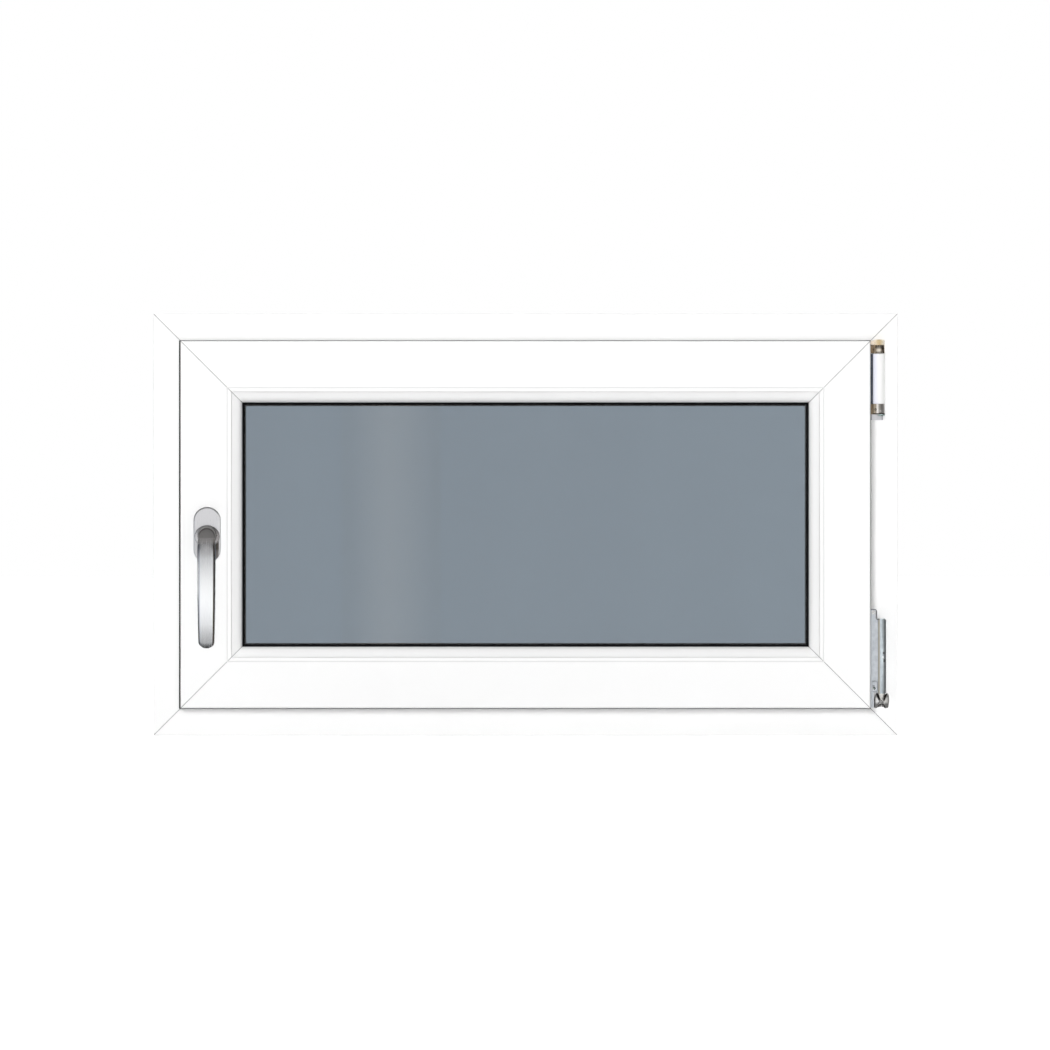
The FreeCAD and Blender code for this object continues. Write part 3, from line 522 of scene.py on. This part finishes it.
materials = {
    "upright": plastic("pvc_upright", "z"),
    "level": plastic("pvc_level", "x"),
    # The left bead is painted lighter and the right bead darker than the other white bars: painted light
    # and shade that evens out how the lamps light their slopes.
    "bead_left": plastic("bead_left", "z", ((0.965, 0.965, 0.963), (0.982, 0.982, 0.980))),
    "bead_right": plastic("bead_right", "z", ((0.900, 0.900, 0.898), (0.917, 0.917, 0.915))),
    "bead_level": plastic("bead_level", "x"),
    "cap": cap_plastic(),
    "rubber": rubber("black_rubber"),
    "glass": glass("grey_glass", (0.432, 0.477, 0.519), (0.442, 0.489, 0.531)),
    "satin": lever_metal()[0],
    # The collar's ring: painted lighter on its left and painted shade on its right, beside the lever.
    "collar": painted_bands_across(metal(
        "satin_ring", (0.70, 0.70, 0.71), (0.75, 0.75, 0.755), (0.24, 0.34),
        EVEN, 900.0, 0.00001, 18.0), HANDLE_X, 0.015, [
            (0.0, (0.80, 0.80, 0.80)), (0.30, (0.90, 0.90, 0.90)), (0.60, (0.80, 0.79, 0.78)),
            (0.80, (0.50, 0.48, 0.47)), (1.0, (0.46, 0.44, 0.43))])[0],
    "rosette": plate_metal()[0],
    "zinc": metal("zinc_steel", (0.47, 0.49, 0.51), (0.62, 0.64, 0.66), (0.24, 0.44),
                  (1.0, 1.0, 0.15), 700.0, 0.00003, 160.0)[0],
    "bearing": bearing_steel()[0],
    "band": band_steel()[0],
    # The stay's barrel and arm: painted bands of highlight and shade across the barrel.
    "brassy": painted_bands_across(metal(
        "yellowed_steel", (0.68, 0.60, 0.50), (0.90, 0.86, 0.78), (0.22, 0.36),
        (1.0, 1.0, 0.3), 500.0, 0.00003, 260.0), STAY_X, STAY_RADIUS, [
            (0.0, (0.30, 0.24, 0.18)), (0.06, (0.50, 0.42, 0.32)), (0.12, (1.0, 0.88, 0.72)),
            (0.20, (0.72, 0.62, 0.50)), (0.30, (0.80, 0.72, 0.62)), (0.38, (1.0, 0.97, 0.92)),
            (0.56, (1.05, 1.03, 1.0)), (0.65, (0.80, 0.78, 0.74)), (0.76, (0.56, 0.54, 0.51)),
            (1.0, (1.10, 1.07, 1.05))])[0],
    "cream": cream_lacquer(),
    "teal": metal("teal_zinc", (0.46, 0.60, 0.58), (0.62, 0.74, 0.72), (0.20, 0.32),
                  EVEN, 500.0, 0.00002, 260.0)[0],
    "bright": pivot_metal()[0],
    "dark": metal("dark_steel", (0.05, 0.045, 0.04), (0.10, 0.09, 0.08), (0.25, 0.40),
                  EVEN, 900.0, 0.00002, 200.0)[0],
    "spacer": metal("spacer_metal", (0.50, 0.51, 0.52), (0.60, 0.61, 0.62), (0.30, 0.42),
                    EVEN, 900.0, 0.00003, 60.0)[0],
}

node_materials = {
    "level": ("frame_head", "frame_sill", "sash_top_rail", "sash_bottom_rail", "drain_caps"),
    "upright": ("frame_jamb_handle_side", "frame_jamb_hinge_side", "sash_handle_stile",
                "sash_hinge_stile"),
    "bead_level": ("glazing_bead_top", "glazing_bead_bottom"),
    "bead_left": ("glazing_bead_left",),
    "bead_right": ("glazing_bead_right",),
    "cap": ("stay_cap",),
    "glass": ("glass_pane_room", "glass_pane_street"),
    "spacer": ("glass_spacer",),
    "rubber": ("glazing_gasket_room", "glazing_gasket_street", "sash_overlap_seal", "frame_lip_seal"),
    "rosette": ("handle_rosette",),
    "collar": ("handle_collar",),
    "satin": ("handle_lever",),
    "zinc": ("handle_spindle",),
    "bearing": ("stay_bearing",),
    "brassy": ("stay_arm_end",),
    "teal": ("stay_pin",),
    "band": ("corner_band",),
    "bright": ("corner_pivot",),
}

for key, names in node_materials.items():
    for node_name in names:
        slots = nodes[node_name].data.materials
        slots.clear()
        slots.append(materials[key])

# Light passes the panes unshaded, and the hinges' edges are worn round.
for node_name in node_materials["glass"]:
    nodes[node_name].visible_shadow = False
for node_name in ("corner_band", "corner_pivot", "stay_bearing"):
    edges = nodes[node_name].modifiers.new("worn_edges", "BEVEL")
    edges.width = 0.00035
    edges.segments = 2
    edges.limit_method = "ANGLE"
    edges.angle_limit = math.radians(40)
    edges.harden_normals = True


# ---- the pieces made here

def clamp(value):
    """Keeps a share between 0 and 1."""
    return min(max(value, 0.0), 1.0)


def piece(name, rings, material, slot, body="root", closed_start=True, closed_end=True, stands_for=()):
    """A smooth skin over rings of points, with flat ends; the rings all have the same length."""
    form = bmesh.new()
    rows = [[form.verts.new(point) for point in ring] for ring in rings]
    for row, following in zip(rows, rows[1:]):
        count = len(row)
        for i in range(count):
            form.faces.new((row[i], row[(i + 1) % count], following[(i + 1) % count], following[i]))
    if closed_start:
        form.faces.new(rows[0][::-1])
    if closed_end:
        form.faces.new(rows[-1])
    bmesh.ops.recalc_face_normals(form, faces=form.faces)
    for face in form.faces:
        face.smooth = len(face.verts) == 4
    mesh = bpy.data.meshes.new(name)
    form.to_mesh(mesh)
    form.free()
    mesh.materials.append(materials[material])
    made = bpy.data.objects.new(name, mesh)
    bpy.context.scene.collection.objects.link(made)
    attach(made, body)
    if stands_for:
        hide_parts(*stands_for)
    return made


def turned(name, axis_point, axis, profile, material, slot, segments=64, **more):
    """A turned piece: profile holds (radius, distance along the axis)."""
    axis = Vector(axis).normalized()
    side = axis.orthogonal().normalized()
    other = axis.cross(side)
    rings = [[
        Vector(axis_point) + axis * along
        + side * (radius * math.cos(2 * math.pi * i / segments))
        + other * (radius * math.sin(2 * math.pi * i / segments))
        for i in range(segments)] for radius, along in profile]
    return piece(name, rings, material, slot, **more)


def rounded(centre, radius, start, end, steps):
    """Profile points (radius, distance) on an arc, for a turned piece's rounded edge; degrees."""
    points = []
    for i in range(steps + 1):
        angle = math.radians(start + (end - start) * i / steps)
        points.append((centre[0] + radius * math.cos(angle), centre[1] + radius * math.sin(angle)))
    return points


def capsule(centre, radius, straight, count):
    """An upright outline with round ends, square to the room."""
    points = []
    for i in range(count):
        angle = 2 * math.pi * (i + 0.5) / count
        rise = straight if math.sin(angle) > 0 else -straight
        points.append(Vector((
            centre[0] + radius * math.cos(angle), centre[1],
            centre[2] + rise + radius * math.sin(angle))))
    return points


def make_lever():
    """The lever: a round neck, a bend and a bowed grip with a flat front and rounded flanks."""
    lean, arc_radius, end_length = math.radians(9), 0.330, 0.0096
    root_thickness, end_thickness = 0.0073, 0.0050
    straight = GRIP_LENGTH - end_length
    bend_centre = Vector((HANDLE_X, PLATE_FRONT_Y - NECK_LENGTH, HANDLE_Z - BEND_RADIUS))
    grip_centre = bend_centre + Vector((0, math.cos(lean), -math.sin(lean))) * (arc_radius - BEND_RADIUS)
    count = 96

    def ring(point, normal, half_width, half_thickness, shaped):
        """An oval, or as shaped nears 1 a section with a flat front and steep bevelled flanks."""
        points = []
        for i in range(count):
            angle = 2 * math.pi * i / count
            c, s = math.cos(angle), math.sin(angle)
            if s > 0:
                out = 0.5 + 0.5 * (1 - abs(c) ** 6)
            else:
                out = 0.5 + 1.5 * s
            out = s + (out - s) * shaped
            points.append(point + Vector((c * half_width, 0, 0)) + normal * (out * half_thickness))
        return points

    rings = [
        ring(Vector((HANDLE_X, y, HANDLE_Z)), Vector((0, 0, 1)), NECK_RADIUS, NECK_RADIUS, 0.0)
        for y in (SASH_Y - 0.006, SASH_Y - 0.0135)]
    bend_length = (math.pi / 2 - lean) * BEND_RADIUS
    # Stations along the bend, the grip and its round end, as (distance, share of the full width).
    stations = [(-bend_length * (1 - i / 16), 1.0) for i in range(16)]
    stations += [(straight * i / 48, 1.0) for i in range(49)]
    stations += [
        (straight + math.sin(math.radians(a)) * end_length, math.cos(math.radians(a)))
        for a in (12, 24, 36, 47, 57, 66, 74, 81, 86)]
    for distance, shrink in stations:
        centre, radius = (bend_centre, BEND_RADIUS) if distance < 0 else (grip_centre, arc_radius)
        direction = distance / radius - lean
        normal = Vector((0, -math.cos(direction), -math.sin(direction)))
        share = clamp(distance / straight)
        half_width = GRIP_HALF_WIDTH + (GRIP_END_HALF_WIDTH - GRIP_HALF_WIDTH) * share ** 2
        half_thickness = root_thickness + (end_thickness - root_thickness) * share
        # The bend carries the round neck over to the flat grip, and its upper side slopes down.
        swell = 1 - clamp((distance + bend_length) / (bend_length + 0.010))
        swell = swell * swell * (3 - 2 * swell)
        half_width += (NECK_RADIUS - half_width) * swell
        half_thickness += (NECK_RADIUS - NECK_DROP / 2 - half_thickness) * swell
        rings.append(ring(
            centre + normal * (radius - NECK_DROP / 2 * swell), normal, half_width * shrink,
            half_thickness * (1 - (1 - shrink) ** 1.6), 1 - swell))
    return piece(
        "lever_grip", rings, "satin", "satin_metal", body="handle", stands_for=("handle_lever",))


def make_rosette():
    """The cover plate: a capsule with a rounded rim and a fine shadow gap above its base."""
    rim = 0.0019

    def ring(inset, y):
        return capsule((HANDLE_X, y, HANDLE_Z), PLATE_HALF_WIDTH - inset,
                       PLATE_HALF_HEIGHT - PLATE_HALF_WIDTH, 48)

    rings = [ring(inset, SASH_Y - depth) for inset, depth in (
        (0.0002, 0.0), (0.0, 0.0003), (0.0, 0.0022), (0.0004, 0.0024), (0.0004, 0.0028), (0.0, 0.0030))]
    for i in range(9):
        angle = math.radians(90 * i / 8)
        rings.append(ring(rim * (1 - math.cos(angle)), PLATE_FRONT_Y + rim * (1 - math.sin(angle))))
    rings.append(ring(0.0030, PLATE_FRONT_Y))
    return piece("rosette_plate", rings, "rosette", "satin_metal", stands_for=("handle_rosette",))


def make_collar():
    """The domed collar between plate and lever."""
    wall, edge = 0.0018, 0.0010
    profile = [(COLLAR_RADIUS, 0.0), (COLLAR_RADIUS, wall)]
    profile += rounded((COLLAR_RADIUS - edge, wall), edge, 12, 84, 5)
    profile += [(0.0120, 0.0034), (COLLAR_BORE, 0.0035), (0.0105, 0.0)]
    made = turned(
        "collar_ring", (HANDLE_X, PLATE_FRONT_Y, HANDLE_Z), (0, -1, 0), profile, "collar",
        "satin_metal", closed_start=False, closed_end=False, stands_for=("handle_collar",))
    # Its outside is a little flat on top: the bore stays round, the upper edge comes down.
    for vertex in made.data.vertices:
        rise = vertex.co.z - HANDLE_Z
        from_axis = math.hypot(vertex.co.x - HANDLE_X, rise)
        outwards = clamp((from_axis - COLLAR_BORE) / (COLLAR_RADIUS - COLLAR_BORE))
        vertex.co.z = HANDLE_Z + rise * (1 - 0.12 * outwards) - NECK_DROP * outwards
    return made


def make_stay_end():
    """The stay arm's end: a barrel with a fine groove under its cream crown, and the arm behind."""
    foot = (STAY_X, HINGE_Y, STAY_END_Z)
    front, back = HINGE_Y - 0.003, HINGE_Y + 0.003
    barrel = [
        (0.0020, 0.0), (0.0068, 0.0), (STAY_RADIUS, 0.0004), (STAY_RADIUS, 0.0098), (0.0068, 0.0101)]
    turned("stay_barrel", foot, (0, 0, 1), barrel, "brassy", "zinc_steel", stands_for=("stay_arm_end",))
    dome = 0.0028
    crown = [(0.0066, 0.0098), (0.0067, 0.0104), (STAY_RADIUS, 0.0107), (STAY_RADIUS, 0.0140)]
    crown += rounded((STAY_RADIUS - dome, 0.0140), dome, 15, 90, 5)
    crown += [(0.0030, 0.0168), (0.0027, 0.0165), (0.0012, 0.01645)]
    turned("stay_crown", foot, (0, 0, 1), crown, "cream", "zinc_steel")

    def bar(name, left, outline, material):
        """A straight bar from left to the hinge line; outline holds (y, height over the foot)."""
        return piece(name, [
            [Vector((x, y, STAY_END_Z + height)) for y, height in outline] for x in (left, STAY_X)],
            material, "zinc_steel")

    bar("stay_crown_shoulder", SASH_EDGE_X + 0.0002, [
        (front, 0.0106), (back, 0.0106), (back, 0.0156), (front + 0.0012, 0.0156), (front, 0.0144)],
        "cream")
    edge, height = 0.0008, 0.0102
    arm = bar("stay_arm", SASH_EDGE_X, [
        (front + edge, 0.0), (back, 0.0), (back, height), (front + edge, height),
        (front, height - edge), (front, edge)], "brassy")
    for face in arm.data.polygons:
        face.use_smooth = False


def make_pivot_cheek(name, side, table):
    """A cheek of the lower hinge's notched ball, from its horn down to its foot.

    A row of the table is (rise over the ball's middle, inner and outer distance from the axis)."""
    steps, full_depth, full_rise, back = 20, 0.0090, 0.0108, FACE_Y - 0.0006
    rings = []
    for rise, inner, outer in table:
        depth = full_depth * math.sqrt(1 - (rise / full_rise) ** 2)
        widest = math.acos(inner / outer)
        ring = []
        for i in range(steps + 1):
            angle = widest * (1 - 2 * i / steps)
            ring.append(Vector((
                HINGE_X + side * outer * math.cos(angle),
                min(HINGE_Y - depth * math.sin(angle), back), BALL_Z + rise)))
        rings.append(ring)
    made = piece(name, rings, "bright", "zinc_steel")
    made.data.set_sharp_from_angle(angle=math.radians(50))
    return made


def socket_screw(name, place, axis, radius, material, inner):
    """A set screw's face: a rounded rim round a six-sided hole with a dark floor."""
    rim = [(1.12, -0.0006), (1.0, 0.00005), (0.90, 0.0002), (0.62, 0.0002)]
    turned(name, place, axis, [(radius * share, along) for share, along in rim], material,
           "zinc_steel", segments=36, closed_start=False, closed_end=False)
    hole = [(0.66, 0.00018), (0.60, -0.0003), (0.05, -0.0004)]
    turned(name + "_socket", place, axis, [(radius * share, along) for share, along in hole], inner,
           "zinc_steel", segments=6, closed_start=False)


def tube(name, points, radius, material, slot):
    """A round bar along a closed line of points that lies square to the room."""
    turns = [math.radians(30 * k) for k in range(12)]
    rings = []
    for i, point in enumerate(points):
        along = (points[(i + 1) % len(points)] - points[i - 1]).normalized()
        side = along.cross(Vector((0, 1, 0))).normalized()
        rings.append([
            point + side * (radius * math.cos(turn)) + Vector((0, radius * math.sin(turn), 0))
            for turn in turns])
    rings.append(rings[0])
    return piece(name, rings, material, slot, closed_start=False, closed_end=False)


make_lever()
make_rosette()
make_collar()
make_stay_end()
make_pivot_cheek("pivot_cheek_left", -1, (
    (0.0083, 0.0054, 0.0062), (0.0076, 0.0051, 0.0070), (0.0060, 0.0046, 0.0079),
    (0.0035, 0.0036, 0.0085), (0.0010, 0.0026, 0.0089), (-0.0015, 0.0016, 0.0089),
    (-0.0035, 0.0006, 0.0088), (-0.0055, 0.0002, 0.0088), (-0.0077, 0.0004, 0.0088),
    (-0.0083, 0.0042, 0.0088), (-0.0091, 0.0051, 0.0085), (-0.0097, 0.0058, 0.0079)))
make_pivot_cheek("pivot_cheek_right", 1, (
    (0.0083, 0.0056, 0.0074), (0.0076, 0.0052, 0.0083), (0.0060, 0.0046, 0.0090),
    (0.0035, 0.0036, 0.0095), (0.0010, 0.0026, 0.0097), (-0.0015, 0.0016, 0.0097),
    (-0.0035, 0.0006, 0.0095), (-0.0055, 0.0002, 0.0091), (-0.0078, 0.0003, 0.0087),
    (-0.0084, 0.0024, 0.0084), (-0.0091, 0.0034, 0.0081), (-0.0097, 0.0043, 0.0073)))
turned("band_sleeve_flank", (HINGE_X + 0.0011, HINGE_Y, 0.0515), (0, 0, 1), [
    (0.0043, 0.0), (0.0046, 0.0003), (0.0046, 0.0885), (0.0043, 0.0888)], "band", "zinc_steel")

# Set screws and the rivet: (name, place, axis, radius, rim, hole).
for screw in (
        ("stay_set_screw", (0.4213, HINGE_Y - 0.0036, 0.4666), (-0.25, -1, 0), 0.0015, "brassy", "dark"),
        ("bearing_set_screw", (0.4232, HINGE_Y - 0.0061, 0.3942), (-0.5, -1, 0), 0.0014, "dark", "dark"),
        ("bearing_rivet", (0.4290, HINGE_Y - 0.0071, 0.3922), (0.2, -1, 0), 0.0011, "bright", "bright"),
        ("band_set_screw", (0.4213, BAND_FACE_Y - 0.0007, 0.0570), (0, -1, 0), 0.0018, "bright", "teal")):
    socket_screw(*screw)

# The pressed bead round the band's pocket, the eyelet in its tongue, the bearing's lower rim.
pocket_radius, pocket_rise, bead_radius = 0.0033, 0.0067, 0.0005
tube("band_pocket", capsule(
    (0.4223, BAND_FACE_Y, 0.0593), pocket_radius, pocket_rise - pocket_radius, 32),
    bead_radius, "zinc", "zinc_steel")
turned("band_tongue_eyelet", (0.4210, BAND_FACE_Y, 0.1487), (0, -1, 0), [
    (0.0027, -0.0002), (0.0027, 0.0001), (0.0025, 0.0003), (0.0014, 0.0003), (0.0012, 0.0001),
    (0.0012, -0.0010)], "bright", "zinc_steel", segments=32, closed_start=False, closed_end=False)
turned("bearing_rim", (STAY_X, HINGE_Y, KNUCKLE_LOW_Z), (0, 0, 1), [
    (0.0070, 0.0), (0.0073, 0.0002), (0.0074, 0.0007), (0.0073, 0.0012), (0.0070, 0.0014)],
    "dark", "zinc_steel", closed_start=False, closed_end=False)


# The fittings are small against the soft lamps, and their own shadows on the white bars are left out.
FITTINGS = (
    "lever_grip", "rosette_plate", "collar_ring", "stay_barrel", "stay_crown", "stay_crown_shoulder",
    "stay_arm", "bearing_rim", "band_pocket", "band_sleeve_flank", "pivot_cheek_left", "pivot_cheek_right")
for made_name in FITTINGS:
    bpy.data.objects[made_name].visible_shadow = False
for node_name in ("stay_cap", "stay_bearing", "stay_pin", "corner_band", "corner_pivot"):
    nodes[node_name].visible_shadow = False


# ---- surroundings

def plane(name, corners, material):
    """A flat sheet of the studio, which is no part of the window."""
    mesh = bpy.data.meshes.new(name)
    mesh.from_pydata(corners, [], [tuple(range(len(corners)))])
    made = bpy.data.objects.new(name, mesh)
    mesh.materials.append(material)
    bpy.context.scene.collection.objects.link(made)
    return made


def floor_material():
    """A white floor, lifted a little for the camera and plain white through the glass."""
    made, tree, shader = principled("studio_floor", Roughness=0.9)
    cloud = tree.noise(tree.coordinates(), 0.8, 2.0)
    tree.feed(shader, Base_Color=tree.ramp(
        cloud, [(0.3, (0.80, 0.80, 0.80)), (0.7, (0.82, 0.82, 0.82))]))
    rays = tree.add("LightPath")
    strength = tree.math("MULTIPLY", rays.outputs["Is Camera Ray"], 0.60)
    lift = tree.add("Emission", {"Color": (*WHITE, 1.0), "Strength": strength})
    both = tree.add("AddShader")
    tree.put(both.inputs[0], shader.outputs["BSDF"])
    tree.put(both.inputs[1], lift.outputs["Emission"])
    plain = tree.add("Emission", {"Color": (*WHITE, 1.0), "Strength": 1.0})
    through = tree.add("MixShader", {"Fac": rays.outputs["Is Transmission Ray"]})
    tree.put(through.inputs[1], both.outputs["Shader"])
    tree.put(through.inputs[2], plain.outputs["Emission"])
    tree.put(tree.nodes["Material Output"].inputs["Surface"], through.outputs["Shader"])
    return made


reach = 60
floor = plane("floor", [
    (-reach, -reach, 0), (reach, -reach, 0), (reach, reach, 0), (-reach, reach, 0)], floor_material())
floor.visible_glossy = False

world = bpy.data.worlds.new("studio")
bpy.context.scene.world = world
sky = Tree(world)
direction = sky.add("SeparateXYZ", {"Vector": sky.add("TexCoord").outputs["Generated"]})
across, depth, height = (
    sky.math("MULTIPLY_ADD", direction.outputs[axis], 0.5, 0.5) for axis in "XYZ")
# A pale room: bright at eye level, with a darker ceiling and a darker far right side.
by_height = sky.ramp(height, [
    (0.0, (0.10, 0.10, 0.10)), (0.20, (0.25, 0.25, 0.26)), (0.30, (0.58, 0.58, 0.59)),
    (0.375, (1.12, 1.12, 1.14)), (0.455, (1.34, 1.34, 1.34)), (0.493, (1.07, 1.07, 1.07)),
    (0.53, (1.02, 1.02, 1.03)), (0.595, (0.50, 0.505, 0.52)), (0.655, (0.26, 0.265, 0.28)),
    (0.80, (0.16, 0.155, 0.155)), (1.0, (0.06, 0.055, 0.055))])
by_side = sky.ramp(across, [
    (0.0, (0.34, 0.35, 0.38)), (0.08, (0.46, 0.48, 0.53)), (0.16, (0.82, 0.84, 0.88)),
    (0.26, WHITE), (0.76, WHITE), (0.86, (0.55, 0.53, 0.50)), (0.93, (0.14, 0.12, 0.10)),
    (1.0, (0.08, 0.065, 0.06))])
by_depth = sky.ramp(depth, [
    (0.0, WHITE), (0.48, WHITE), (0.62, (0.35, 0.35, 0.36)), (1.0, (0.55, 0.55, 0.56))])
mirrored = sky.times(sky.times(by_height, by_side), by_depth)
# The light that soft surfaces gather: the lamps give the front its light, the world the rest.
gathered = sky.times(
    sky.ramp(depth, [
        (0.0, (0.22, 0.22, 0.22)), (0.45, (0.28, 0.28, 0.28)), (0.58, (0.98, 0.98, 0.98)),
        (1.0, (1.16, 1.16, 1.16))]),
    sky.ramp(across, [(0.0, (0.3, 0.3, 0.3)), (1.0, (1.7, 1.7, 1.7))]))
rays = sky.add("LightPath")
clear = sky.math("MAXIMUM", rays.outputs["Is Camera Ray"], rays.outputs["Is Transmission Ray"])
ambient = sky.blend(rays.outputs["Is Glossy Ray"], gathered, mirrored)
sky.feed(sky.nodes["Background"], Color=sky.blend(clear, ambient, WHITE))


def lamp(name, place, target, size, power):
    """A square soft lamp that no mirroring or clear piece shows."""
    data = bpy.data.lights.new(name, "AREA")
    data.shape = "SQUARE"
    data.size = size
    data.energy = power
    made = bpy.data.objects.new(name, data)
    made.location = place
    made.rotation_euler = (Vector(target) - Vector(place)).to_track_quat("-Z", "Y").to_euler()
    made.visible_glossy = False
    made.visible_transmission = False
    bpy.context.scene.collection.objects.link(made)


window_middle = (0, 0, 0.25)
lamp("key_softbox", (-8.0, -19.3, 8.25), window_middle, 6.5, 2300.0)
lamp("front_fill", (-0.6, -30.0, 1.6), window_middle, 6.0, 2800.0)


def strip_material():
    """A soft strip of light behind the camera, which the glass mirrors as a pale upright band."""
    made = bpy.data.materials.new("strip_light")
    tree = Tree(made)
    tree.nodes.clear()
    x, _, _ = tree.place()
    streaks = tree.noise(tree.coordinates((1.0, 1.0, 0.01)), 16.0, 1.0)
    middle = tree.add("MapRange", {
        "Value": tree.math("ABSOLUTE", x), "From Min": 0.0, "From Max": STRIP_WIDTH / 2,
        "To Min": 1.0, "To Max": 0.0}, interpolation_type="SMOOTHSTEP").outputs["Result"]
    extra = tree.math("MULTIPLY", middle, tree.spread(streaks, 0.8, 1.15))
    glow = tree.add("Emission", {
        "Color": (1.0, 0.93, 0.85, 1.0), "Strength": tree.math("MULTIPLY_ADD", extra, 0.9, 1.0)})
    out = tree.add("OutputMaterial")
    tree.put(out.inputs["Surface"], glow.outputs["Emission"])
    return made


half, tall = STRIP_WIDTH / 2, STRIP_HALF_HEIGHT
strip = plane("strip_light", [
    (-half, 0, -tall), (half, 0, -tall), (half, 0, tall), (-half, 0, tall)], strip_material())
strip.location = (STRIP_X, STRIP_Y, PICTURE_CENTRE_HEIGHT)
strip.visible_camera = False
strip.visible_diffuse = False
strip.visible_transmission = False
strip.visible_shadow = False

camera_data = bpy.data.cameras.new("camera")
camera_data.sensor_width = SENSOR
camera_data.lens = SENSOR * CAMERA_DISTANCE / PICTURE_WIDTH
camera_data.clip_end = 100.0
camera = bpy.data.objects.new("camera", camera_data)
camera.location = (PICTURE_CENTRE_X, FACE_Y - CAMERA_DISTANCE, PICTURE_CENTRE_HEIGHT)
camera.rotation_euler = (math.pi / 2, 0.0, 0.0)
bpy.context.scene.collection.objects.link(camera)
bpy.context.scene.camera = camera
bpy.context.scene.view_settings.view_transform = "Standard"
